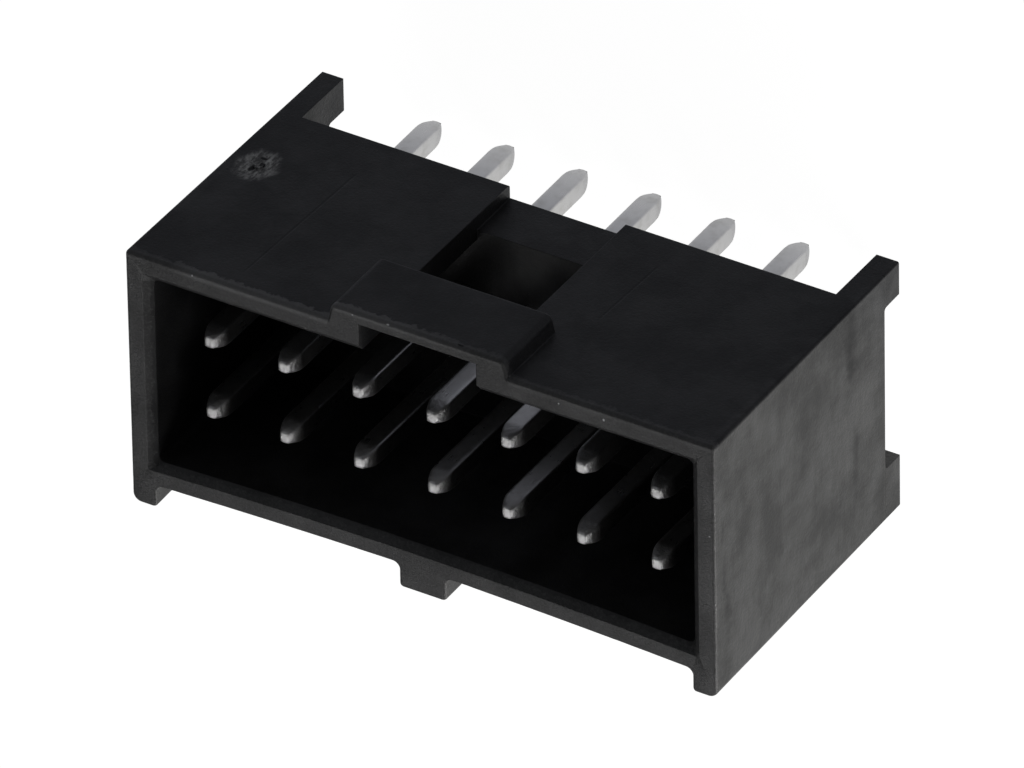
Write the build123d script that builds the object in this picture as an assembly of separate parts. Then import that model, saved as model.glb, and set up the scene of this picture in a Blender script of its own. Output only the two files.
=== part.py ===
from build123d import *
import math
import os

# Shrouded box header for a printed circuit board, in millimetres.
# The origin is on the board's top face at the middle of the pin grid.
# X runs along the two rows, Z out of the mouth. The key wall, with the latch arch, faces -Y.

# Pin grid
pitch = 2.54
columns = 7
row_spacing = 2.54

# Heights above the board
mouth_height = 10.90
floor_height = 4.20
base_underside = 2.30
end_wall_underside = 0.87

# Shroud walls, measured at the mouth
end_reach = 2.41
key_reach = 3.00
plain_reach = 2.735
end_wall = 0.84
key_wall = 0.88
plain_wall = 0.82
rear_end_wall = 0.76
outer_draft = 0.65
cavity_draft = 0.3
key_corner_radius = 0.14
rail_corner_radius = 0.30
board_corner_radius = 0.06
rail_inner_radius = 0.14
cavity_corner_radius = 0.20
lead_in_width = 0.26
lead_in_depth = 0.23
lead_in_corner_radius = 0.12
mouth_edge_radius = 0.12

# The plain wall sinks towards the pins in the middle of its length, most of all at the mouth,
# as far as the sink's reach to either side
wall_sink = 0.235
sink_reach = 8.2

# Rails and rib on the outside of the plain wall
rail_rise = 0.775
rib_rise = 0.835
rail_width = 0.84
rib_width = 1.61
rib_root_radius = 0.22

# Feet that carry the header on the board
key_foot_depth = 1.15
plain_foot_depth = 1.85
foot_root_radius = 0.12
base_edge_radius = 0.10

# Latch arch, keyway and lock window in the key wall
arch_rise = 0.55
arch_width = 5.86
arch_side_flare = 0.14
arch_depth = 2.79
arch_corner_radius = 0.24
keyway_width = 4.01
keyway_roof = 0.40
base_notch_depth = 0.48

# Mark that the moulding gate leaves on the key wall
gate_x = 8.95
gate_height = 5.17
gate_dish_width = 1.20
gate_dish_depth = 0.03
gate_stub_width = 0.34
gate_stub_rise = 0.03

# Square pins
pin_side = 0.64
pin_edge_radius = 0.05
pin_stand = 5.90
tail_length = 2.87
point_length = 0.72
point_flat_x = 0.28
point_flat_y = 0.38
pin_hole_clearance = 0.0

# Places that follow from the sizes above
half_length = (columns - 1) * pitch / 2 + end_reach
key_face_y = -(row_spacing / 2 + key_reach)
plain_face_y = row_spacing / 2 + plain_reach
rail_face_y = plain_face_y + rail_rise
arch_face_y = key_face_y - arch_rise

# How far a cut runs past the face that it opens, and how near two points are one corner
over = 1.0
same_place = 0.05


def outer_inset(height):
    """How far the outside faces stand in from their place at the mouth."""
    return (mouth_height - height) * math.tan(math.radians(outer_draft))


def corner_radius_at(height, mouth_radius):
    """Radius of an outside corner of the end walls, which grows from the board to the mouth."""
    return board_corner_radius + (mouth_radius - board_corner_radius) * height / mouth_height


def sink_at(height, x):
    """How far the plain wall has sunk in at a height and a place along its length."""
    return wall_sink * height / mouth_height * max(0, 1 - (x / sink_reach) ** 2)


def sunk_edge(height, start_x, end_x, y):
    """Edge of the plain wall at one height, sunk in along a shallow arc."""
    places = (start_x, (start_x + end_x) / 2, end_x)
    points = [(x, y - sink_at(height, x)) for x in places]
    if sink_at(height, 0) == 0:
        return Line(points[0], points[-1])
    return ThreePointArc(*points)


def corners_near(face, places, reach):
    """Vertices of a flat face that lie near any of the given places."""
    return [v for v in face.vertices() if any(math.hypot(v.X - x, v.Y - y) < reach for x, y in places)]


def shroud_outline(height):
    """Outside of the shroud at one height: walls, end rails and centre rib."""
    inset = outer_inset(height)
    end_x = half_length - inset
    rail_x = half_length - rail_width + inset
    rib_x = rib_width / 2 - inset
    key_y = key_face_y + inset
    plain_y = plain_face_y - inset
    rail_y = rail_face_y - inset
    rib_y = plain_y - sink_at(height, 0) + rib_rise

    right_wall = sunk_edge(height, rail_x, rib_x, plain_y)
    left_wall = sunk_edge(height, -rib_x, -rail_x, plain_y)
    right_side = Polyline((-end_x, key_y), (end_x, key_y), (end_x, rail_y), (rail_x, rail_y), right_wall @ 0)
    rib = Polyline(right_wall @ 1, (rib_x, rib_y), (-rib_x, rib_y), left_wall @ 0)
    left_side = Polyline(left_wall @ 1, (-rail_x, rail_y), (-end_x, rail_y), (-end_x, key_y))
    outline = make_face(right_side.edges() + [right_wall] + rib.edges() + [left_wall] + left_side.edges())

    sides = (-1, 1)
    roots = [(side * x, plain_y - sink_at(height, x)) for side in sides for x in (rail_x, rib_x)]
    rounds = (
        (corner_radius_at(height, key_corner_radius), [(side * end_x, key_y) for side in sides]),
        (corner_radius_at(height, rail_corner_radius), [(side * end_x, rail_y) for side in sides]),
        (rail_inner_radius, [(side * x, y) for side in sides for x, y in ((rail_x, rail_y), (rib_x, rib_y))]),
        (rib_root_radius, roots),
    )
    for radius, places in rounds:
        outline = fillet(corners_near(outline, places, same_place), radius)
    return outline


def make_envelope():
    """Outside of the shroud as one drafted block, from the board up to the mouth."""
    foot = shroud_outline(0)
    mouth = Pos(0, 0, mouth_height) * shroud_outline(mouth_height)
    block = loft([foot, mouth], ruled=True)
    return fillet(block.faces().sort_by(Axis.Z)[-1].edges(), mouth_edge_radius)


def make_arch():
    """Raised arch at the mouth that bridges the keyway, with flared sides and soft edges."""
    top = arch_width / 2
    root_y = key_face_y + key_wall / 2
    root = top + arch_side_flare * (root_y - arch_face_y) / arch_rise
    outline = make_face(Polyline((-top, arch_face_y), (top, arch_face_y), (root, root_y), (-root, root_y),
                                 close=True))
    crown = outline.vertices().group_by(Axis.Y)[0]
    arch = extrude(Pos(0, 0, mouth_height) * fillet(crown, arch_corner_radius), -arch_depth)
    ends = [edge for face in arch.faces().filter_by(Axis.Z) for edge in face.edges()]
    return fillet([edge for edge in ends if (edge @ 0.5).Y < key_face_y], mouth_edge_radius)


def cavity_outline(height, widen, corner_radius):
    """Inside of the shroud at one height, drafted and widened for the lead-in."""
    inset = (mouth_height - height) * math.tan(math.radians(cavity_draft)) - widen
    end_x = half_length - end_wall - inset
    low_y = key_face_y + key_wall + inset
    high_y = plain_face_y - plain_wall - inset
    sunk_side = sunk_edge(height, end_x, -end_x, high_y)
    rest = Polyline(sunk_side @ 1, (-end_x, low_y), (end_x, low_y), sunk_side @ 0)
    outline = make_face([sunk_side] + rest.edges())
    return Pos(0, 0, height) * fillet(outline.vertices(), corner_radius)


def make_cavity():
    """Space inside the shroud down to the floor, with the lead-in round its mouth."""
    shoulder = mouth_height - lead_in_depth
    well = loft([cavity_outline(floor_height, 0, cavity_corner_radius),
                 cavity_outline(shoulder, 0, cavity_corner_radius)], ruled=True)
    mouth = cavity_outline(mouth_height, lead_in_width, lead_in_corner_radius)
    lead_in = loft([cavity_outline(shoulder, 0, cavity_corner_radius), mouth], ruled=True)
    return well + lead_in + extrude(mouth, over)


def make_keyway():
    """Slot under the arch that opens into the lock window and notches the base behind it."""
    roof_y = arch_face_y + keyway_roof
    notch_y = key_face_y + outer_inset(base_underside) + base_notch_depth
    cavity_y = key_face_y + key_wall + lead_in_width
    profile = make_face(Polyline((roof_y, mouth_height + over), (cavity_y, mouth_height + over),
                                 (cavity_y, floor_height), (notch_y, floor_height),
                                 (notch_y, base_underside - over), (roof_y, base_underside - over),
                                 close=True))
    return extrude(Plane.YZ * profile, keyway_width / 2, both=True)


def span_rectangle(low_x, high_x, low_y, high_y):
    """Rectangle between two corners, in the XY plane."""
    middle = Pos((low_x + high_x) / 2, (low_y + high_y) / 2)
    return middle * Rectangle(high_x - low_x, high_y - low_y)


def make_board_side():
    """What is cut away below the base: the open recess and the gaps between the feet."""
    inner_x = half_length - outer_inset(0) - rear_end_wall
    far_y = rail_face_y + over
    recess = extrude(Pos(0, 0, -over) * span_rectangle(-inner_x, inner_x, -far_y, far_y),
                     base_underside + over)
    key_foot_y = key_face_y + outer_inset(0) + key_foot_depth
    plain_foot_y = rail_face_y - outer_inset(0) - plain_foot_depth
    gap = span_rectangle(key_foot_y, plain_foot_y, -over, end_wall_underside)
    gap = extrude(Plane.YZ * gap, half_length + over, both=True)
    gap = fillet(gap.edges().filter_by(Axis.X).group_by(Axis.Z)[-1], foot_root_radius)
    return recess + gap


def make_pin(bottom, top):
    """Square pin between two heights, coined to a curved point at both ends."""
    half = pin_side / 2

    def pointed_face(flat):
        end = flat / 2
        right_top = TangentArc((half, top - point_length), (end, top), tangent=(0, 1))
        left_top = TangentArc((-half, top - point_length), (-end, top), tangent=(0, 1))
        right_foot = TangentArc((half, bottom + point_length), (end, bottom), tangent=(0, -1))
        left_foot = TangentArc((-half, bottom + point_length), (-end, bottom), tangent=(0, -1))
        right_side = Line(right_foot @ 0, right_top @ 0)
        left_side = Line(left_foot @ 0, left_top @ 0)
        tip = Line(right_top @ 1, left_top @ 1)
        foot = Line(right_foot @ 1, left_foot @ 1)
        return make_face([right_side, right_top, tip, left_top, left_side, left_foot, foot, right_foot])

    across_x = extrude(Plane.XZ * pointed_face(point_flat_x), half, both=True)
    across_y = extrude(Plane.YZ * pointed_face(point_flat_y), half, both=True)
    wire = extrude(Pos(0, 0, bottom) * RectangleRounded(pin_side, pin_side, pin_edge_radius), top - bottom)
    return wire & across_x & across_y


def pin_places():
    """Name and place of each pin: row a is beside the key wall, column 1 at the +X end."""
    for row, y in (("a", -row_spacing / 2), ("b", row_spacing / 2)):
        for column in range(columns):
            x = ((columns - 1) / 2 - column) * pitch
            yield f"terminal_{row}{column + 1}", x, y


def soften_base(housing):
    """Round the rear edge of the key wall, on both sides of the base notch."""
    edge_y = key_face_y + outer_inset(base_underside)

    def on_rear_edge(edge):
        middle = edge @ 0.5
        return math.hypot(middle.Y - edge_y, middle.Z - base_underside) < base_edge_radius / 2

    return fillet(housing.edges().filter_by(on_rear_edge), base_edge_radius)


def mark_gate(housing):
    """Leave the shallow dish and broken stub of the moulding gate on the key wall."""
    face_y = key_face_y + outer_inset(gate_height)
    dish_radius = (gate_dish_width ** 2 / 4 + gate_dish_depth ** 2) / (2 * gate_dish_depth)
    dish = Pos(gate_x, face_y + gate_dish_depth - dish_radius, gate_height) * Sphere(dish_radius)
    stub_length = key_wall / 2 + gate_stub_rise
    stub = Cylinder(gate_stub_width / 2, stub_length, rotation=(90, 0, 0))
    stub = Pos(gate_x, face_y + key_wall / 2 - stub_length / 2, gate_height) * stub
    return housing - dish + stub


def make_housing():
    """One-piece moulded housing."""
    housing = make_envelope() + make_arch()
    housing -= make_cavity()
    housing -= make_keyway()
    housing -= make_board_side()
    housing = soften_base(housing)
    housing = mark_gate(housing)
    hole_side = pin_side + 2 * pin_hole_clearance
    hole = RectangleRounded(hole_side, hole_side, pin_edge_radius)
    holes = Sketch() + [Pos(x, y) * hole for _, x, y in pin_places()]
    return housing - extrude(holes, floor_height + over)


housing = make_housing()
pin = make_pin(-tail_length, floor_height + pin_stand)

os.makedirs("parts", exist_ok=True)
export_step(housing, "parts/housing.step")
for name, x, y in pin_places():
    export_step(Pos(x, y) * pin, f"parts/{name}.step")
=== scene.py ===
"""Dresses the shrouded pin header: moulded housing, tin-plated pins, studio and camera."""
import enum
import logging
import math
from dataclasses import dataclass, field
from typing import Any, Iterable, Sequence, Union

import bmesh
import bpy
from mathutils import Matrix, Vector


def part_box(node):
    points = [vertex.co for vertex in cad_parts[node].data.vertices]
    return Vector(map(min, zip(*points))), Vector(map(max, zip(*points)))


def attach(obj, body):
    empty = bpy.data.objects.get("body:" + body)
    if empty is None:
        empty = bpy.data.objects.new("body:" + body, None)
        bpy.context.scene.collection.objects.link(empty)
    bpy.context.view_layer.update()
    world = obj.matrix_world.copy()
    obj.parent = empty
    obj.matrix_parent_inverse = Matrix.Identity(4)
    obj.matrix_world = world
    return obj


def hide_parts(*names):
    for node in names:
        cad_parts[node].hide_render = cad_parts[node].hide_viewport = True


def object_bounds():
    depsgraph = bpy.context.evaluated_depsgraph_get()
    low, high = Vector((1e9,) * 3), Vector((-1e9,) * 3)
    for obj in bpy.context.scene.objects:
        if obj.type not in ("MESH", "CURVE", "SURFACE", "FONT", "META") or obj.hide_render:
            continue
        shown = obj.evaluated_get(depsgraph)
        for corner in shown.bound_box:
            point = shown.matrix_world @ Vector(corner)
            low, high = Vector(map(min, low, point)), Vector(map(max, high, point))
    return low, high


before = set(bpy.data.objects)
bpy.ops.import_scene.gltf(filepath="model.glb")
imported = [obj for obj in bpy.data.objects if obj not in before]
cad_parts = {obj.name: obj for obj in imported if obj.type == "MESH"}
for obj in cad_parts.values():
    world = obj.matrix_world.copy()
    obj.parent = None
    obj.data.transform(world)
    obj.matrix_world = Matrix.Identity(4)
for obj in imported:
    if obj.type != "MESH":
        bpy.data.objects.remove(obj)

logging.basicConfig(level=logging.INFO, format="%(name)s: %(message)s")
LOG = logging.getLogger("header")

CAD_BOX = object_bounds()
MM = 0.001
MERGE_DISTANCE = 0.00002 * MM
EDGE_SAMPLES = 6
NOISE_MEAN = 0.5
WHITE = (1.0, 1.0, 1.0, 1.0)
Colour = tuple[float, float, float]
Point = tuple[float, float, float]
Pair = tuple[float, float]


class Slot(enum.Enum):
    """Material slots of the record."""

    PLASTIC = "housing_plastic"
    TIN = "tin_plate"


class Operation(enum.Enum):
    """Ways in which a Math node joins its values."""

    ADD = "ADD"
    SUBTRACT = "SUBTRACT"
    MULTIPLY = "MULTIPLY"
    ABSOLUTE = "ABSOLUTE"
    GREATEST = "MAXIMUM"


# Shader arithmetic


class Wire:
    """A shader socket that takes part in Python arithmetic."""

    def __init__(self, bench: "Bench", socket: bpy.types.NodeSocket) -> None:
        """Wrap a socket.

        Args:
            bench: The bench whose node tree holds the socket.
            socket: The output socket.
        """
        self.bench = bench
        self.socket = socket

    def __add__(self, other: "Value") -> "Wire":
        """Add a value."""
        return self.bench.math(Operation.ADD, self, other)

    def __radd__(self, other: "Value") -> "Wire":
        """Add to a value."""
        return self.bench.math(Operation.ADD, other, self)

    def __sub__(self, other: "Value") -> "Wire":
        """Take a value away."""
        return self.bench.math(Operation.SUBTRACT, self, other)

    def __rsub__(self, other: "Value") -> "Wire":
        """Take this away from a value."""
        return self.bench.math(Operation.SUBTRACT, other, self)

    def __mul__(self, other: "Value") -> "Wire":
        """Multiply by a value."""
        return self.bench.math(Operation.MULTIPLY, self, other)

    def __rmul__(self, other: "Value") -> "Wire":
        """Multiply a value."""
        return self.bench.math(Operation.MULTIPLY, other, self)

    def __abs__(self) -> "Wire":
        """Drop the sign."""
        return self.bench.math(Operation.ABSOLUTE, self)


Value = Union[Wire, int, float]


@dataclass(frozen=True)
class Texture:
    """An even noise: waves per millimetre, octaves and the weight of the finer octaves."""

    scale: float
    detail: float
    roughness: float


class Bench:
    """Node tree of one material or world, with the few node makers that the finishes need."""

    def __init__(self, tree: bpy.types.NodeTree) -> None:
        """Empty the tree.

        Args:
            tree: The node tree to work in.
        """
        self.tree = tree
        tree.nodes.clear()

    def node(self, kind: str, settings: dict[str, Any] | None = None,
             **inputs: Any) -> bpy.types.Node:
        """Make a node of any type.

        Args:
            kind: The node's type name.
            settings: Values for the node's own properties, set first.
            inputs: Values or links of its sockets, by name with _ for a space, or by place
                as i0, i1 and so on.

        Returns:
            The node.
        """
        made = self.tree.nodes.new(kind)
        for name, setting in (settings or {}).items():
            setattr(made, name, setting)
        for name, given in inputs.items():
            by_place = name[0] == "i" and name[1:].isdigit()
            key = int(name[1:]) if by_place else name.replace("_", " ")
            socket = made.inputs[key]
            if isinstance(given, Wire):
                self.tree.links.new(given.socket, socket)
            elif isinstance(given, bpy.types.NodeSocket):
                self.tree.links.new(given, socket)
            else:
                socket.default_value = given
        return made

    def out(self, node: bpy.types.Node, name: Union[str, int] = 0) -> Wire:
        """Wrap one of a node's outputs."""
        return Wire(self, node.outputs[name])

    def math(self, operation: Operation, *values: Value) -> Wire:
        """Join values with a Math node.

        Args:
            operation: How they join.
            values: One or two values.

        Returns:
            The result.
        """
        places = {f"i{i}": value for i, value in enumerate(values)}
        return self.out(self.node("ShaderNodeMath", {"operation": operation.value}, **places))

    def greatest(self, first: Value, second: Value) -> Wire:
        """The greater of two values."""
        return self.math(Operation.GREATEST, first, second)

    def place(self, centre: Sequence[float] = (0, 0, 0),
              scale: Sequence[float] = (1, 1, 1)) -> Wire:
        """Object coordinates in millimetres from a centre, stretched if asked.

        Args:
            centre: Point in millimetres that becomes the origin.
            scale: Factor along each axis.

        Returns:
            The coordinates.
        """
        source = self.node("ShaderNodeTexCoord")
        per_mm = [factor / MM for factor in scale]
        shift = [-at * factor for at, factor in zip(centre, scale)]
        return self.out(self.node("ShaderNodeMapping", Vector=source.outputs["Object"],
                                  Location=shift, Scale=per_mm))

    def axis(self, vector: Wire, name: str) -> Wire:
        """One of a vector's parts."""
        return self.out(self.node("ShaderNodeSeparateXYZ", Vector=vector), name)

    def noise(self, vector: Wire, texture: Texture) -> Wire:
        """Even noise between 0 and 1.

        Args:
            vector: Coordinates in millimetres.
            texture: How fine and how rough the noise is.

        Returns:
            The noise.
        """
        return self.out(self.node("ShaderNodeTexNoise", Vector=vector, Scale=texture.scale,
                                  Detail=texture.detail, Roughness=texture.roughness), 0)

    def step(self, value: Value, low: float, high: float, floor: float = 0.0,
             top: float = 1.0) -> Wire:
        """Smooth rise of a value between two levels.

        Args:
            value: The value.
            low: Level where the rise starts.
            high: Level where it ends; below low for a fall.
            floor: Result before the rise.
            top: Result after it.

        Returns:
            The result.
        """
        settings = {"interpolation_type": "SMOOTHSTEP"}
        if low <= high:
            sockets = {"i0": value, "i1": low, "i2": high, "i3": floor, "i4": top}
        else:
            sockets = {"i0": value, "i1": high, "i2": low, "i3": top, "i4": floor}
        return self.out(self.node("ShaderNodeMapRange", settings, **sockets))

    def band(self, value: Wire, centre: float, half_width: float, soft: float) -> Wire:
        """Mask that is 1 within a distance of a level.

        Args:
            value: The value.
            centre: The level.
            half_width: Distance where the mask starts to fall.
            soft: Distance over which it falls.

        Returns:
            The mask.
        """
        return self.step(abs(value - centre), half_width + soft, half_width)

    def mix(self, factor: Value, under: Any, over: Any) -> Wire:
        """Lay one colour over another.

        Args:
            factor: How much of the upper colour shows.
            under: The lower colour or link.
            over: The upper colour or link.

        Returns:
            The colour.
        """
        def full(colour: Any) -> Any:
            """Give a plain colour its alpha."""
            return colour if isinstance(colour, Wire) else (*colour, 1.0)

        made = self.node("ShaderNodeMix", {"data_type": "RGBA"}, i0=factor, i6=full(under),
                         i7=full(over))
        return self.out(made, 2)

    def length(self, vector: Wire) -> Wire:
        """Length of a vector."""
        made = self.node("ShaderNodeVectorMath", {"operation": "LENGTH"}, i0=vector)
        return self.out(made, "Value")

    def bump(self, height: Wire, distance: float, normal: Wire) -> Wire:
        """Relief of a surface.

        Args:
            height: Height in units of the distance.
            distance: What a height of 1 stands for, in millimetres.
            normal: Normal that the relief starts from.

        Returns:
            The normal.
        """
        return self.out(self.node("ShaderNodeBump", Height=height, Distance=distance * MM,
                                  Strength=1.0, Normal=normal))

    def soft_edges(self, radius: float) -> Wire:
        """Normal with corners rounded to a radius in millimetres."""
        return self.out(self.node("ShaderNodeBevel", {"samples": EDGE_SAMPLES}, Radius=radius * MM))

    def finish(self, **sockets: Any) -> None:
        """Close the tree with a Principled shader.

        Args:
            sockets: Values or links of the shader's sockets.
        """
        shader = self.node("ShaderNodeBsdfPrincipled", **sockets)
        self.node("ShaderNodeOutputMaterial", Surface=shader.outputs[0])


def new_bench(name: str) -> tuple[bpy.types.Material, Bench]:
    """Start a material.

    Args:
        name: The material's name.

    Returns:
        The material and its bench.
    """
    material = bpy.data.materials.new(name)
    material.use_nodes = True
    return material, Bench(material.node_tree)


# Finishes


@dataclass(frozen=True)
class Mark:
    """A single blemish: its place and how far it reaches along each axis, in millimetres."""

    place: Point
    reach: Point


@dataclass(frozen=True)
class PlasticSheen:
    """The plastic's roughness and what each pattern changes in it."""

    base: float = 0.43
    mottle: float = 0.08
    mottle_on_ends: float = 0.06
    grain: float = 0.20
    gate: float = 0.14
    edge: float = -0.04
    scuffs: float = 0.16
    lead_ins: float = 0.35


@dataclass(frozen=True)
class PlasticRelief:
    """Height that each pattern gives the plastic, in units of the relief's distance."""

    distance: float = 0.010
    grain: float = 1.4
    fine: float = 0.5
    clouds: float = 3.0
    bands_on_ends: float = 2.5
    slides: float = -0.8
    parting: float = -1.2
    gate: float = 22.0
    dents: float = -6.0


@dataclass(frozen=True)
class PlasticPatterns:
    """What the plastic's colour, roughness and relief share: the place and the patterns there."""

    at: Wire
    x: Wire
    y: Wire
    z: Wire
    grain: Wire
    clouds: Wire
    bands: Wire
    mottle: Wire
    on_ends: Wire
    gate: Wire
    dents: Wire
    parting: Wire
    slides: Wire


@dataclass(frozen=True)
class MouldedPlastic:
    """Black glass-filled plastic with an eroded mould texture, flow marks, scuffs and a gate mark.

    Places, reaches and levels are in millimetres. A span gives the two levels between which a
    mask rises, a wander says how ragged its outline is, and a share how much of a colour it lays
    on.
    """

    colour: Colour = (0.0130, 0.0128, 0.0138)
    bloom: Colour = (0.065, 0.065, 0.067)
    scuffed: Colour = (0.105, 0.104, 0.106)
    chipped: Colour = (0.45, 0.45, 0.46)
    whitened_and_glint: Colour = (0.78, 0.78, 0.80)
    painted_dent_shade: Colour = (0.003, 0.003, 0.003)
    painted_groove_shade: Colour = (0.004, 0.004, 0.004)
    sheen: PlasticSheen = PlasticSheen()
    relief: PlasticRelief = PlasticRelief()
    refraction: float = 1.5
    edge_radius: float = 0.045
    edge_reach: float = 0.09
    edge_span: Pair = (0.01, 0.20)
    # Texture and mottling, which is stronger on the two end walls
    grain: Texture = Texture(11.0, 3.0, 0.65)
    fine: Texture = Texture(34.0, 1.0, 0.5)
    clouds: Texture = Texture(0.55, 4.0, 0.60)
    bands: Texture = Texture(1.1, 3.0, 0.6)
    band_stretch: Point = (1.0, 0.22, 1.0)
    cloud_share: float = 0.75
    mottle_span: Pair = (0.36, 0.64)
    bloom_share: float = 0.30
    bloom_on_ends: float = 0.30
    ends_span: Pair = (9.6, 9.8)
    # Rim of the mouth, and the worn edge of the key wall with the arch standing out from it
    mouth_height: float = 10.90
    ragged: Texture = Texture(3.4, 4.0, 0.7)
    rim_wander: float = 0.45
    rim_below: Pair = (0.19, 0.14)
    rim_share: float = 0.16
    rim_grain_share: float = 0.5
    rim_grain_span: Pair = (0.40, 0.75)
    wear_wander: float = 0.7
    wear_below: Pair = (0.29, 0.22)
    wear_starts: Pair = (-2.5, 1.5)
    wear_ends: Pair = (8.8, 7.6)
    wear_floor: float = 0.3
    wear_share: float = 0.25
    outer_span: Pair = (-3.98, -4.12)
    arch_span: Pair = (3.1, 2.9)
    arch_rise: float = 0.60
    # Short lead-ins of the mouth, rubbed dull
    lead_in_reach: Pair = (9.17, 9.46)
    lead_in_fade: float = 0.02
    lead_in_width_span: Pair = (3.4, 3.3)
    lead_in_foot_span: Pair = (10.61, 10.65)
    lead_in_top_span: Pair = (10.895, 10.88)
    # Mark of the gate, whitened and lumpy; its brightest flecks are stress-whitened plastic and
    # painted glints in one colour
    gate_place: Point = (8.95, -4.20, 5.17)
    gate_stretch: Point = (1.15, 0.6, 0.95)
    gate_radius: float = 0.90
    gate_core: float = 0.45
    gate_share: float = 0.30
    gate_wander: float = 0.5
    gate_outline: Texture = Texture(2.6, 2.0, 0.6)
    gate_lumps: Texture = Texture(4.0, 4.0, 0.75)
    chips_and_glints: Texture = Texture(3.6, 4.0, 0.8)
    chip_and_glint_stretch: Point = (1.6, 1.0, 0.6)
    chip_and_glint_span: Pair = (0.40, 0.66)
    # Lines of the mould: the parting round the ears, and the slides by place, foot and top, with
    # painted shade darkening the grooves along them
    parting_height: float = 0.87
    parting_width: Pair = (0.02, 0.03)
    parting_span: Pair = (9.80, 9.88)
    parting_shade_share: float = 0.7
    slide_lines: tuple[Point, ...] = ((6.40, 4.2, 10.0), (-3.82, 3.9, 6.9))
    slide_width: Pair = (0.015, 0.04)
    slide_lean: float = 0.035
    slide_fade: float = 0.3
    slide_depth: float = 1.1
    slide_shade_share: float = 0.5
    key_wall_span: Pair = (-4.0, -4.1)
    # Single blemishes and how ragged they are; the dents are darkened with painted shade
    mark_outline: Texture = Texture(3.0, 3.0, 0.65)
    mark_wander: float = 0.9
    mark_core: float = 0.6
    scuff_wander: float = 1.6
    dent_shade_share: float = 0.95
    nicks: tuple[Mark, ...] = (
        Mark((7.70, -4.16, 10.87), (0.045, 0.06, 0.06)),
        Mark((3.83, -3.60, 10.90), (0.07, 0.045, 0.06)),
        Mark((2.19, -4.69, 10.87), (0.05, 0.04, 0.05)),
        Mark((0.99, -4.75, 10.87), (0.07, 0.035, 0.04)),
        Mark((-6.32, -3.95, 10.90), (0.04, 0.05, 0.05)),
        Mark((-4.80, -3.99, 10.90), (0.03, 0.03, 0.03)),
        Mark((-9.85, -1.04, 10.87), (0.04, 0.03, 0.05)),
        Mark((9.40, -4.12, 10.00), (0.025, 0.03, 0.03)),
        Mark((5.15, -4.12, 9.45), (0.025, 0.03, 0.03)),
        Mark((-3.48, -4.12, 7.75), (0.03, 0.03, 0.03)),
    )
    dents: tuple[Mark, ...] = (
        Mark((4.62, -4.20, 10.80), (0.07, 0.07, 0.05)),
        Mark((-1.45, -4.80, 10.80), (0.13, 0.08, 0.04)),
        Mark((-5.75, -4.20, 10.80), (0.11, 0.08, 0.03)),
        Mark((-6.20, -4.20, 10.79), (0.16, 0.08, 0.03)),
        Mark((-9.90, -1.53, 9.13), (0.20, 0.05, 0.055)),
        Mark((9.03, -4.20, 5.37), (0.11, 0.10, 0.20)),
        Mark((8.84, -4.20, 5.12), (0.10, 0.10, 0.18)),
        Mark((8.98, -4.20, 4.78), (0.13, 0.10, 0.07)),
    )
    scuffs: tuple[Mark, ...] = (
        Mark((-9.95, -1.00, 10.45), (0.30, 0.70, 0.17)),
        Mark((-9.95, 0.70, 10.38), (0.30, 1.30, 0.18)),
        Mark((-9.95, 2.20, 10.18), (0.30, 1.20, 0.30)),
        Mark((-9.95, -2.60, 2.90), (0.30, 2.60, 0.55)),
        Mark((-9.95, 1.20, 2.60), (0.30, 1.60, 0.35)),
    )

    def make(self) -> bpy.types.Material:
        """Build the material.

        Returns:
            The material.
        """
        material, b = new_bench("moulded_plastic")
        shared = self._patterns(b)
        rounded = b.soft_edges(self.edge_radius)
        normal = b.bump(self._relief(b, shared), self.relief.distance, rounded)
        b.finish(Base_Color=self._shade(b, shared), Roughness=self._dull(b, shared),
                 IOR=self.refraction, Normal=normal)
        return material

    def _patterns(self, b: Bench) -> PlasticPatterns:
        """Build the patterns that several inputs of the shader share.

        Args:
            b: The bench.

        Returns:
            The patterns.
        """
        at = b.place()
        x, y, z = (b.axis(at, name) for name in "XYZ")
        clouds = b.noise(at, self.clouds)
        bands = b.noise(b.place(scale=self.band_stretch), self.bands)
        flow = self.cloud_share * clouds + (1.0 - self.cloud_share) * bands
        return PlasticPatterns(
            at=at, x=x, y=y, z=z, clouds=clouds, bands=bands,
            grain=b.noise(at, self.grain),
            mottle=b.step(flow, *self.mottle_span),
            on_ends=b.step(abs(x), *self.ends_span),
            gate=self._gate(b, at),
            dents=self._marks(b, self.dents, self.mark_wander, self.mark_core),
            parting=self._parting(b, x, z),
            slides=self._slides(b, x, y, z),
        )

    def _shade(self, b: Bench, p: PlasticPatterns) -> Wire:
        """Lay the colours over the plain black, in order.

        Args:
            b: The bench.
            p: The shared patterns.

        Returns:
            The colour.
        """
        ragged = b.noise(p.at, self.ragged) - NOISE_MEAN
        nicks = self._marks(b, self.nicks, self.mark_wander, self.mark_core)
        chips_and_glints = b.step(b.noise(b.place(scale=self.chip_and_glint_stretch), self.chips_and_glints), *self.chip_and_glint_span)
        rubbed = self.rim_share + self.rim_grain_share * b.step(p.grain, *self.rim_grain_span)
        worn = self._worn(b, p, ragged)
        layers = (
            (p.mottle * (self.bloom_share + self.bloom_on_ends * p.on_ends), self.bloom),
            (self._rim(b, p.z, ragged) * rubbed, self.scuffed),
            (b.greatest(p.gate * self.gate_share, worn * self.wear_share), self.chipped),
            # Partly painted highlight: the gate's brightest flecks are glints painted in the light
            # colour, which also whitens the real nicks
            (b.greatest(nicks, p.gate * chips_and_glints), self.whitened_and_glint),
            # Painted shade: the dents are darkened in colour, where shade falls in them
            (p.dents * self.dent_shade_share, self.painted_dent_shade),
            # Painted shade: a dark colour along the parting and slide grooves, where shade falls in
            # them
            (b.greatest(p.parting * self.parting_shade_share, p.slides * self.slide_shade_share), self.painted_groove_shade),
        )
        shade: Any = self.colour
        for factor, over in layers:
            shade = b.mix(factor, shade, over)
        return shade

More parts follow.
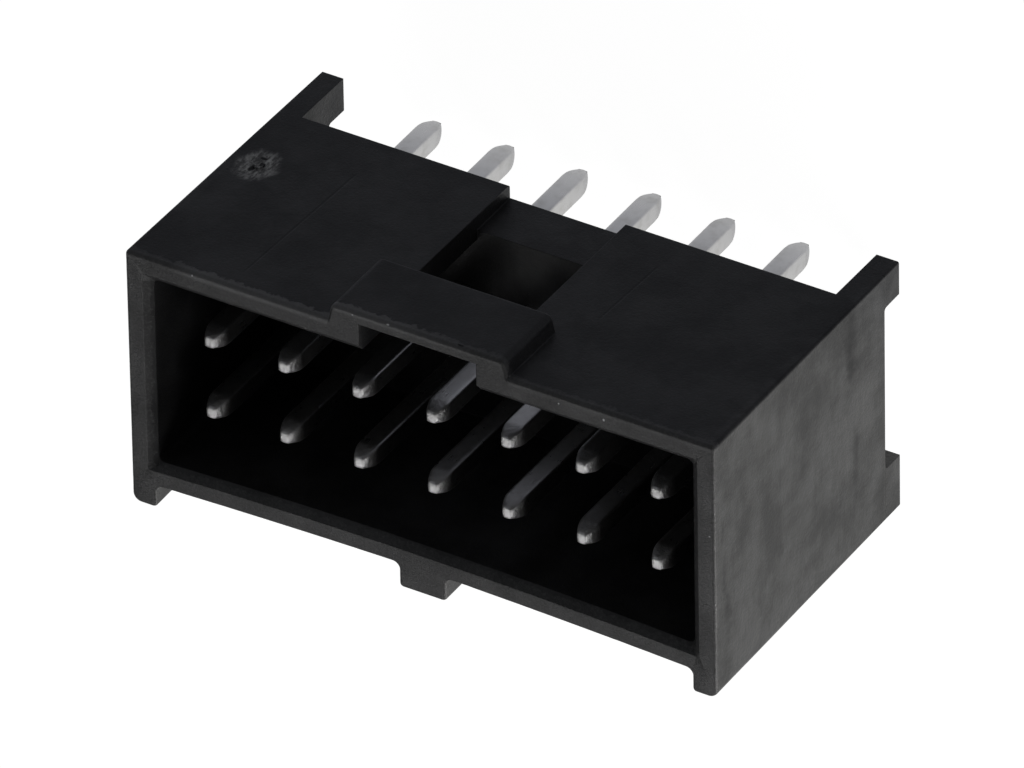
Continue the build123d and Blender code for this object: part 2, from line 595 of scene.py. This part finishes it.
    def _dull(self, b: Bench, p: PlasticPatterns) -> Wire:
        """Roughness of the surface.

        Args:
            b: The bench.
            p: The shared patterns.

        Returns:
            The roughness.
        """
        sheen = self.sheen
        scuffs = self._marks(b, self.scuffs, self.scuff_wander, 0.0)
        mottle = sheen.mottle + sheen.mottle_on_ends * p.on_ends
        dull = sheen.base + mottle * (NOISE_MEAN - p.mottle) + sheen.grain * (p.grain - NOISE_MEAN)
        dull = dull + sheen.gate * p.gate + sheen.scuffs * scuffs
        return dull + sheen.edge * self._edge_mask(b) + sheen.lead_ins * self._lead_ins(b, p)

    def _relief(self, b: Bench, p: PlasticPatterns) -> Wire:
        """Height of the surface, in units of the relief's distance.

        Args:
            b: The bench.
            p: The shared patterns.

        Returns:
            The height.
        """
        weight = self.relief
        lumps = b.noise(p.at, self.gate_lumps) - NOISE_MEAN
        relief = weight.grain * p.grain + weight.fine * b.noise(p.at, self.fine)
        relief = relief + weight.clouds * p.clouds
        relief = relief + weight.bands_on_ends * p.on_ends * (p.bands - NOISE_MEAN)
        relief = relief + weight.slides * p.slides + weight.parting * p.parting
        return relief + p.gate * lumps * weight.gate + weight.dents * p.dents

    def _marks(self, b: Bench, marks: Sequence[Mark], wander: float, core: float) -> Wire:
        """Mask of single blemishes with ragged outlines.

        Args:
            b: The bench.
            marks: The blemishes.
            wander: How ragged their outlines are.
            core: Share of the reach inside which the mask is full.

        Returns:
            The mask, 1 inside a blemish.
        """
        ragged = wander * (b.noise(b.place(), self.mark_outline) - NOISE_MEAN)
        mask: Value = 0.0
        for mark in marks:
            away = b.length(b.place(mark.place, [1.0 / reach for reach in mark.reach]))
            mask = b.greatest(mask, b.step(away + ragged, 1.0, core))
        return mask

    def _rim(self, b: Bench, z: Wire, ragged: Wire) -> Wire:
        """Mask of the mouth's rim and what is just below it."""
        high, full = (self.mouth_height - below for below in self.rim_below)
        return b.step(z + self.rim_wander * ragged, high, full)

    def _worn(self, b: Bench, p: PlasticPatterns, ragged: Wire) -> Wire:
        """Worn edge along the outside of the key wall, strongest towards +X.

        Args:
            b: The bench.
            p: The shared patterns.
            ragged: Noise about 0 that moves the edge's outline.

        Returns:
            The mask.
        """
        arch = b.step(abs(p.x), *self.arch_span)
        outer = b.step(p.y + self.arch_rise * arch, *self.outer_span)
        high, full = (self.mouth_height - below for below in self.wear_below)
        band = outer * b.step(p.z + self.wear_wander * ragged, high, full)
        starts = b.step(p.x, *self.wear_starts, self.wear_floor, 1.0)
        ends = b.step(p.x, *self.wear_ends, self.wear_floor, 1.0)
        return band * starts * ends

    def _gate(self, b: Bench, at: Wire) -> Wire:
        """Mask of the gate mark, with a ragged outline.

        Args:
            b: The bench.
            at: Coordinates in millimetres.

        Returns:
            The mask.
        """
        wander = self.gate_wander * (b.noise(at, self.gate_outline) - NOISE_MEAN)
        away = b.length(b.place(self.gate_place, self.gate_stretch)) + wander
        return b.step(away, self.gate_radius, self.gate_radius * self.gate_core)

    def _lead_ins(self, b: Bench, p: PlasticPatterns) -> Wire:
        """Mask of the two short lead-ins at the ends of the mouth.

        Args:
            b: The bench.
            p: The shared patterns.

        Returns:
            The mask.
        """
        near, far = self.lead_in_reach
        slope = b.step(abs(p.x), near - self.lead_in_fade, near)
        slope = slope * b.step(abs(p.x), far, far - self.lead_in_fade)
        slope = slope * b.step(abs(p.y), *self.lead_in_width_span)
        return slope * b.step(p.z, *self.lead_in_foot_span) * b.step(p.z, *self.lead_in_top_span)

    def _edge_mask(self, b: Bench) -> Wire:
        """Mask of the corners, from 0 on the flat to 1 on the edge.

        Args:
            b: The bench.

        Returns:
            The mask.
        """
        flat = b.node("ShaderNodeNewGeometry").outputs["Normal"]
        rounded = b.soft_edges(self.edge_reach)
        turn = b.node("ShaderNodeVectorMath", {"operation": "DOT_PRODUCT"}, i0=flat, i1=rounded)
        return b.step(1.0 - b.out(turn, "Value"), *self.edge_span)

    def _parting(self, b: Bench, x: Wire, z: Wire) -> Wire:
        """Witness line round the ears and feet, where the end walls' cutaway began in the mould."""
        line = b.band(z, self.parting_height, *self.parting_width)
        return line * b.step(abs(x), *self.parting_span)

    def _slides(self, b: Bench, x: Wire, y: Wire, z: Wire) -> Wire:
        """Fine lines along the depth of the key wall, where the mould's slides met.

        Args:
            b: The bench.
            x: Place along the rows.
            y: Place across the rows.
            z: Height above the board.

        Returns:
            Depth of the lines.
        """
        on_key_wall = b.step(y, *self.key_wall_span)
        fade = self.slide_fade
        lines: Value = 0.0
        for place, low, high in self.slide_lines:
            reach = b.step(z, low - fade, low + fade) * b.step(z, high + fade, high - fade)
            line = b.band(x - self.slide_lean * (z - high), place, *self.slide_width)
            lines = lines + self.slide_depth * line * reach * on_key_wall
        return lines


@dataclass(frozen=True)
class TinPlate:
    """Satin tin over drawn square wire, with faint draw lines, coin marks and tarnish."""

    colour: Colour = (0.66, 0.655, 0.655)
    tarnish: Colour = (0.44, 0.43, 0.41)
    roughness: float = 0.30
    coined_roughness: float = 0.36
    edge_radius: float = 0.09
    # Heights in millimetres past which the ends are coined, and how fast the coining sets in
    coin_heights: Pair = (-2.05, 9.38)
    coin_fade: float = 0.25
    drawn: Texture = Texture(22.0, 2.0, 0.6)
    draw_stretch: Point = (1.0, 1.0, 0.06)
    clouds: Texture = Texture(2.2, 3.0, 0.6)
    struck: Texture = Texture(6.5, 4.0, 0.7)
    waves: Texture = Texture(9.0, 2.0, 0.5)
    pits: Texture = Texture(13.0, 2.0, 0.5)
    pit_span: Pair = (0.78, 0.86)
    tarnish_span: Pair = (0.45, 0.75)
    tarnish_share: float = 0.35
    pit_share: float = 0.5
    # What each pattern adds to the roughness, and to the relief in units of its distance
    dull_clouds: float = 0.14
    dull_drawn: float = 0.10
    dull_pits: float = 0.15
    dull_struck: float = 0.2
    relief_distance: float = 0.006
    relief_drawn: float = 0.6
    relief_waves: float = 0.5
    relief_pits: float = -0.3
    relief_struck: float = 5.0

    def make(self) -> bpy.types.Material:
        """Build the material.

        Returns:
            The material.
        """
        material, b = new_bench("tin_plate")
        at = b.place()
        drawn = b.noise(b.place(scale=self.draw_stretch), self.drawn)
        clouds = b.noise(at, self.clouds)
        struck = b.noise(at, self.struck)
        pits = b.step(b.noise(at, self.pits), *self.pit_span)
        z = b.axis(at, "Z")
        low, high = self.coin_heights
        tail = b.step(z, low, low - self.coin_fade)
        tip = b.step(z, high, high + self.coin_fade)
        coined = b.greatest(tail, tip)

        tarnished = b.step(clouds, *self.tarnish_span) * self.tarnish_share
        shade = b.mix(tarnished, self.colour, self.tarnish)
        shade = b.mix(pits * self.pit_share, shade, self.tarnish)

        dull = self.roughness + self.dull_clouds * (clouds - NOISE_MEAN)
        dull = dull + self.dull_drawn * (drawn - NOISE_MEAN) + self.dull_pits * pits
        rougher = self.coined_roughness - self.roughness
        dull = dull + coined * (rougher + self.dull_struck * (struck - NOISE_MEAN))

        relief = self.relief_drawn * drawn + self.relief_waves * b.noise(at, self.waves)
        relief = relief + self.relief_pits * pits + self.relief_struck * coined * struck
        normal = b.bump(relief, self.relief_distance, b.soft_edges(self.edge_radius))
        b.finish(Base_Color=shade, Metallic=1.0, Roughness=dull, Normal=normal)
        return material


# Pieces


def link(name: str, mesh: bpy.types.Mesh, material: bpy.types.Material,
         crease: float) -> bpy.types.Object:
    """Put a finished mesh in the scene on the fixed body.

    Args:
        name: The piece's name.
        mesh: Its mesh.
        material: Its finish.
        crease: Angle in degrees past which an edge stays sharp.

    Returns:
        The piece.
    """
    mesh.materials.clear()
    mesh.materials.append(material)
    mesh.shade_smooth()
    mesh.set_sharp_from_angle(angle=math.radians(crease))
    piece = bpy.data.objects.new(name, mesh)
    bpy.context.scene.collection.objects.link(piece)
    even = piece.modifiers.new("even_normals", "WEIGHTED_NORMAL")
    even.keep_sharp = True
    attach(piece, "root")
    return piece


@dataclass
class Housing:
    """The one-piece moulding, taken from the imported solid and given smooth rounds."""

    node: str = "housing"
    crease: float = 32.0
    finish: MouldedPlastic = field(default_factory=MouldedPlastic)

    def build(self) -> list[bpy.types.Object]:
        """Build and dress the moulding.

        Returns:
            The piece, in a list.
        """
        shape = bmesh.new()
        shape.from_mesh(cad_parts[self.node].data)
        bmesh.ops.remove_doubles(shape, verts=shape.verts, dist=MERGE_DISTANCE)
        mesh = bpy.data.meshes.new("moulding")
        shape.to_mesh(mesh)
        shape.free()
        stored = mesh.attributes.get("custom_normal")
        if stored is not None:
            mesh.attributes.remove(stored)
        piece = link("moulding", mesh, self.finish.make(), self.crease)
        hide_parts(self.node)
        return [piece]


@dataclass
class PinField:
    """The fourteen square pins, coined at both ends, in millimetres and degrees.

    Each end is narrowed ring by ring: over the side length along X, over the point length along
    Y, down to the flats. The fullness bends the two arcs, and the corner cut rounds the outline
    towards the end. The pins' upper part leans from the lean height on. The tails are a little
    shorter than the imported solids', as in the photograph.
    """

    rows: str = "ab"
    columns: int = 7
    point_length: float = 0.72
    side_length: float = 0.46
    flat_x: float = 0.27
    flat_y: float = 0.36
    fullness: float = 1.40
    tail_trim: float = 0.10
    corner_cut: float = 0.7
    corner_radius: float = 0.05
    corner_segments: int = 3
    corner_angle: float = 35.0
    roundness: float = 3.0
    rings: int = 14
    side_cuts: int = 4
    same_height: float = 0.001
    level_edge: float = 0.01
    lean: float = 0.010
    lean_height: float = 3.2
    crease: float = 50.0
    finish: TinPlate = field(default_factory=TinPlate)

    def build(self) -> list[bpy.types.Object]:
        """Build and dress every pin.

        Returns:
            The pieces, row by row.
        """
        material = self.finish.make()
        pieces = []
        for row in self.rows:
            for column in range(1, self.columns + 1):
                node = f"terminal_{row}{column}"
                piece = link(f"pin_{row}{column}", self._mesh(node), material, self.crease)
                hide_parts(node)
                pieces.append(piece)
        return pieces

    def _coin(self, depth: float, length: float, half: float, flat: float) -> float:
        """Share of the wire's half width that is left on the coined arc.

        Args:
            depth: Distance past the start of the point.
            length: Length of the coined face.
            half: Half width of the straight wire.
            flat: Half width of the end flat.

        Returns:
            The share.
        """
        along = max(0.0, depth - self.point_length + length) / length
        left = (1.0 - min(1.0, along) ** self.fullness) ** (1.0 / self.fullness)
        return (flat + (half - flat) * left) / half

    def _mesh(self, node: str) -> bpy.types.Mesh:
        """Shape one pin where its solid stands.

        Args:
            node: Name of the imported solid.

        Returns:
            The mesh.
        """
        low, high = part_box(node)
        low.z += self.tail_trim * MM
        size = high - low
        shape = bmesh.new()
        bmesh.ops.create_cube(shape, size=1.0)
        bmesh.ops.scale(shape, vec=size, verts=shape.verts)
        level = [edge for edge in shape.edges if self._rise(edge) < self.level_edge]
        bmesh.ops.subdivide_edges(shape, edges=level, cuts=self.side_cuts, use_grid_fill=True)
        for end in (-1, 1):
            self._point(shape, end, size)
        self._round(shape)
        bmesh.ops.translate(shape, vec=(low + high) / 2, verts=shape.verts)
        self._lean(shape)
        bmesh.ops.recalc_face_normals(shape, faces=shape.faces)
        mesh = bpy.data.meshes.new(node.replace("terminal", "pin"))
        shape.to_mesh(mesh)
        shape.free()
        return mesh

    def _point(self, shape: bmesh.types.BMesh, end: int, size: Vector) -> None:
        """Coin one end of the wire.

        Args:
            shape: The mesh in work, centred.
            end: -1 for the tail, 1 for the tip.
            size: The wire's whole size.
        """
        half = size.x / 2 / MM
        quarter = math.pi / 2
        depths = [self.point_length * math.sin(quarter * ring / self.rings)
                  for ring in range(self.rings + 1)]
        heights = [end * (size.z / 2 - (self.point_length - depth) * MM) for depth in depths]
        for height in heights[:-1]:
            self._cut(shape, height)
        for depth, height in zip(depths, heights):
            ring = [v for v in shape.verts if abs(v.co.z - height) < self.same_height * MM]
            narrow = (self._coin(depth, self.side_length, half, self.flat_x / 2),
                      self._coin(depth, self.point_length, half, self.flat_y / 2), 1.0)
            bmesh.ops.scale(shape, vec=narrow, verts=ring)
            self._blunt(shape, ring, self.corner_cut * (depth / self.point_length) ** 2)

    def _lean(self, shape: bmesh.types.BMesh) -> None:
        """Let the part of the pin above the lean height lean along X.

        Args:
            shape: The mesh in work, at its place.
        """
        foot = self.lean_height * MM
        self._cut(shape, foot)
        tilt = Matrix.Shear("XY", 4, (self.lean, 0.0))
        pivot = Matrix.Translation((0, 0, -foot))
        above = [v for v in shape.verts if v.co.z > foot]
        bmesh.ops.transform(shape, matrix=tilt, space=pivot, verts=above)

    @staticmethod
    def _rise(edge: bmesh.types.BMEdge) -> float:
        """Difference in height between an edge's ends, in millimetres."""
        first, second = edge.verts
        return abs(first.co.z - second.co.z) / MM

    @staticmethod
    def _cut(shape: bmesh.types.BMesh, height: float) -> None:
        """Cut a level ring into the mesh."""
        parts = shape.verts[:] + shape.edges[:] + shape.faces[:]
        bmesh.ops.bisect_plane(shape, geom=parts, plane_co=(0, 0, height), plane_no=(0, 0, 1))

    def _blunt(self, shape: bmesh.types.BMesh, ring: list[bmesh.types.BMVert], cut: float) -> None:
        """Draw the corners of one ring inwards, towards a round outline.

        Args:
            shape: The mesh in work.
            ring: The ring's vertices.
            cut: How far towards the round outline, from 0 to 1.
        """
        wide = max(abs(v.co.x) for v in ring)
        deep = max(abs(v.co.y) for v in ring)
        for vertex in ring:
            across, along = abs(vertex.co.x) / wide, abs(vertex.co.y) / deep
            reach = max(across, along)
            if reach > 0.0:
                power = self.roundness
                rounded = reach / (across ** power + along ** power) ** (1 / power)
                less = 1.0 + (rounded - 1.0) * cut
                bmesh.ops.scale(shape, vec=(less, less, 1.0), verts=[vertex])

    def _round(self, shape: bmesh.types.BMesh) -> None:
        """Bevel the wire's four corners, all the way along.

        Args:
            shape: The mesh in work.
        """
        sharp = math.radians(self.corner_angle)
        edges = [edge for edge in shape.edges
                 if edge.calc_face_angle(0.0) > sharp and self._rise(edge) > self.level_edge]
        bmesh.ops.bevel(shape, geom=edges, offset=self.corner_radius * MM, offset_type="OFFSET",
                        segments=self.corner_segments, profile=0.5, affect="EDGES", material=-1,
                        clamp_overlap=True)


# Studio


@dataclass(frozen=True)
class SoftLamp:
    """A flat soft box that points at the header, in millimetres."""

    name: str
    place: Point
    size: Pair
    radiance: float
    colour: Colour = (1.0, 1.0, 1.0)
    target: Point = (0.0, 0.0, 4.0)

    def hang(self) -> None:
        """Put the lamp in the scene."""
        lamp = bpy.data.lights.new(self.name, "AREA")
        lamp.shape = "RECTANGLE"
        lamp.size, lamp.size_y = (side * MM for side in self.size)
        lamp.energy = self.radiance * math.pi * lamp.size * lamp.size_y
        lamp.color = self.colour
        holder = bpy.data.objects.new(self.name, lamp)
        place = Vector(self.place) * MM
        aim = Vector(self.target) * MM - place
        turn = aim.to_track_quat("-Z", "Y").to_matrix().to_4x4()
        holder.matrix_world = Matrix.Translation(place) @ turn
        bpy.context.scene.collection.objects.link(holder)


@dataclass
class Studio:
    """White floor and world, the lamps and the camera of the photograph, in millimetres.

    Mirrored in the header, the floor is dim in front of it and bright behind it. The two glow
    levels and tints hold before and past the glow's span along Y.
    """

    floor_size: float = 4000.0
    floor_gap: float = 0.01
    floor_white: float = 0.97
    floor_shadow: Colour = (0.25, 0.25, 0.25)
    floor_paint: Colour = (0.8, 0.8, 0.8)
    world_level: float = 0.05
    glow_span: Pair = (-7.0, 1.5)
    glow_levels: Pair = (0.18, 0.80)
    glow_tints: tuple[Colour, Colour] = ((0.92, 0.95, 1.06), (1.0, 1.0, 0.98))
    lamps: tuple[SoftLamp, ...] = (
        SoftLamp("side_box", (-110.0, 78.0, 12.0), (90.0, 14.0), 16.0,
                 (1.0, 0.99, 0.97)),
        SoftLamp("front_box", (64.0, -100.0, 83.0), (110.0, 110.0), 0.22,
                 (0.90, 0.94, 1.0)),
        SoftLamp("mouth_box", (24.0, 88.0, 98.0), (104.0, 28.0), 3.0),
        SoftLamp("tip_box", (-95.0, 78.0, 60.0), (56.0, 30.0), 3.6),
        SoftLamp("back_box", (-78.0, 92.0, 62.0), (130.0, 80.0), 0.30),
    )
    image_width: int = 1024
    focal_pixels: float = 20000.0
    camera_clip: Pair = (50.0, 3000.0)
    camera_place: Point = (-250.652, -341.323, 414.043)
    camera_right: Point = (-0.857611, 0.014664, -0.514089)
    camera_forward: Point = (0.425940, 0.580462, -0.694003)

    def build(self) -> None:
        """Set up everything round the header."""
        self._floor()
        self._world()
        for lamp in self.lamps:
            lamp.hang()
        self._camera()
        bpy.context.scene.view_settings.view_transform = "Standard"

    def _floor(self) -> None:
        """Lay the white floor just under the tails."""
        shape = bmesh.new()
        bmesh.ops.create_grid(shape, x_segments=1, y_segments=1, size=self.floor_size / 2 * MM)
        under = CAD_BOX[0].z - self.floor_gap * MM
        bmesh.ops.translate(shape, vec=(0, 0, under), verts=shape.verts)
        mesh = bpy.data.meshes.new("floor")
        shape.to_mesh(mesh)
        shape.free()
        mesh.materials.append(self._floor_finish())
        floor = bpy.data.objects.new("floor", mesh)
        bpy.context.scene.collection.objects.link(floor)

    def _floor_finish(self) -> bpy.types.Material:
        """Make a finish that the camera sees as white with a shadow, and mirrors see as a glow.

        Returns:
            The material.
        """
        material, b = new_bench("white_floor")
        rays = b.node("ShaderNodeLightPath")
        along = b.axis(b.place(), "Y")
        glow = b.step(along, *self.glow_span, *self.glow_levels)
        tint = b.mix(b.step(along, *self.glow_span), *self.glow_tints)
        paint = b.node("ShaderNodeBsdfDiffuse", Color=(*self.floor_paint, 1.0))
        shadow_catch = b.node("ShaderNodeBsdfDiffuse", Color=(*self.floor_shadow, 1.0))
        white = b.node("ShaderNodeEmission", Color=WHITE, Strength=self.floor_white)
        seen = b.node("ShaderNodeAddShader", i0=white.outputs[0], i1=shadow_catch.outputs[0])
        mirrored = b.node("ShaderNodeEmission", Color=tint, Strength=glow)
        lit = b.node("ShaderNodeMixShader", i0=rays.outputs["Is Glossy Ray"], i1=paint.outputs[0],
                     i2=mirrored.outputs[0])
        whole = b.node("ShaderNodeMixShader", i0=rays.outputs["Is Camera Ray"], i1=lit.outputs[0],
                       i2=seen.outputs[0])
        b.node("ShaderNodeOutputMaterial", Surface=whole.outputs[0])
        return material

    def _world(self) -> None:
        """Make a dim even world that the camera sees as white."""
        world = bpy.data.worlds.new("studio")
        world.use_nodes = True
        bpy.context.scene.world = world
        b = Bench(world.node_tree)
        rays = b.node("ShaderNodeLightPath")
        dim = b.node("ShaderNodeBackground", Color=WHITE, Strength=self.world_level)
        white = b.node("ShaderNodeBackground", Color=WHITE, Strength=1.0)
        whole = b.node("ShaderNodeMixShader", i0=rays.outputs["Is Camera Ray"], i1=dim.outputs[0],
                       i2=white.outputs[0])
        b.node("ShaderNodeOutputWorld", Surface=whole.outputs[0])

    def _camera(self) -> None:
        """Stand the camera where the photograph was taken from."""
        data = bpy.data.cameras.new("camera")
        data.sensor_fit = "HORIZONTAL"
        data.lens = self.focal_pixels / self.image_width * data.sensor_width
        data.clip_start, data.clip_end = (distance * MM for distance in self.camera_clip)
        camera = bpy.data.objects.new("camera", data)
        right = Vector(self.camera_right).normalized()
        back = -Vector(self.camera_forward).normalized()
        up = back.cross(right).normalized()
        turn = Matrix((right, up, back)).transposed().to_4x4()
        camera.matrix_world = Matrix.Translation(Vector(self.camera_place) * MM) @ turn
        bpy.context.scene.collection.objects.link(camera)
        bpy.context.scene.camera = camera


def report(pieces: Iterable[bpy.types.Object]) -> None:
    """Log the pieces of one sub-assembly."""
    for piece in pieces:
        LOG.info("%s: %d faces", piece.name, len(piece.data.polygons))


def main() -> None:
    """Build the header, then the studio round it."""
    for assembly in (Housing(), PinField()):
        report(assembly.build())
    Studio().build()


if __name__ == "__main__":
    main()
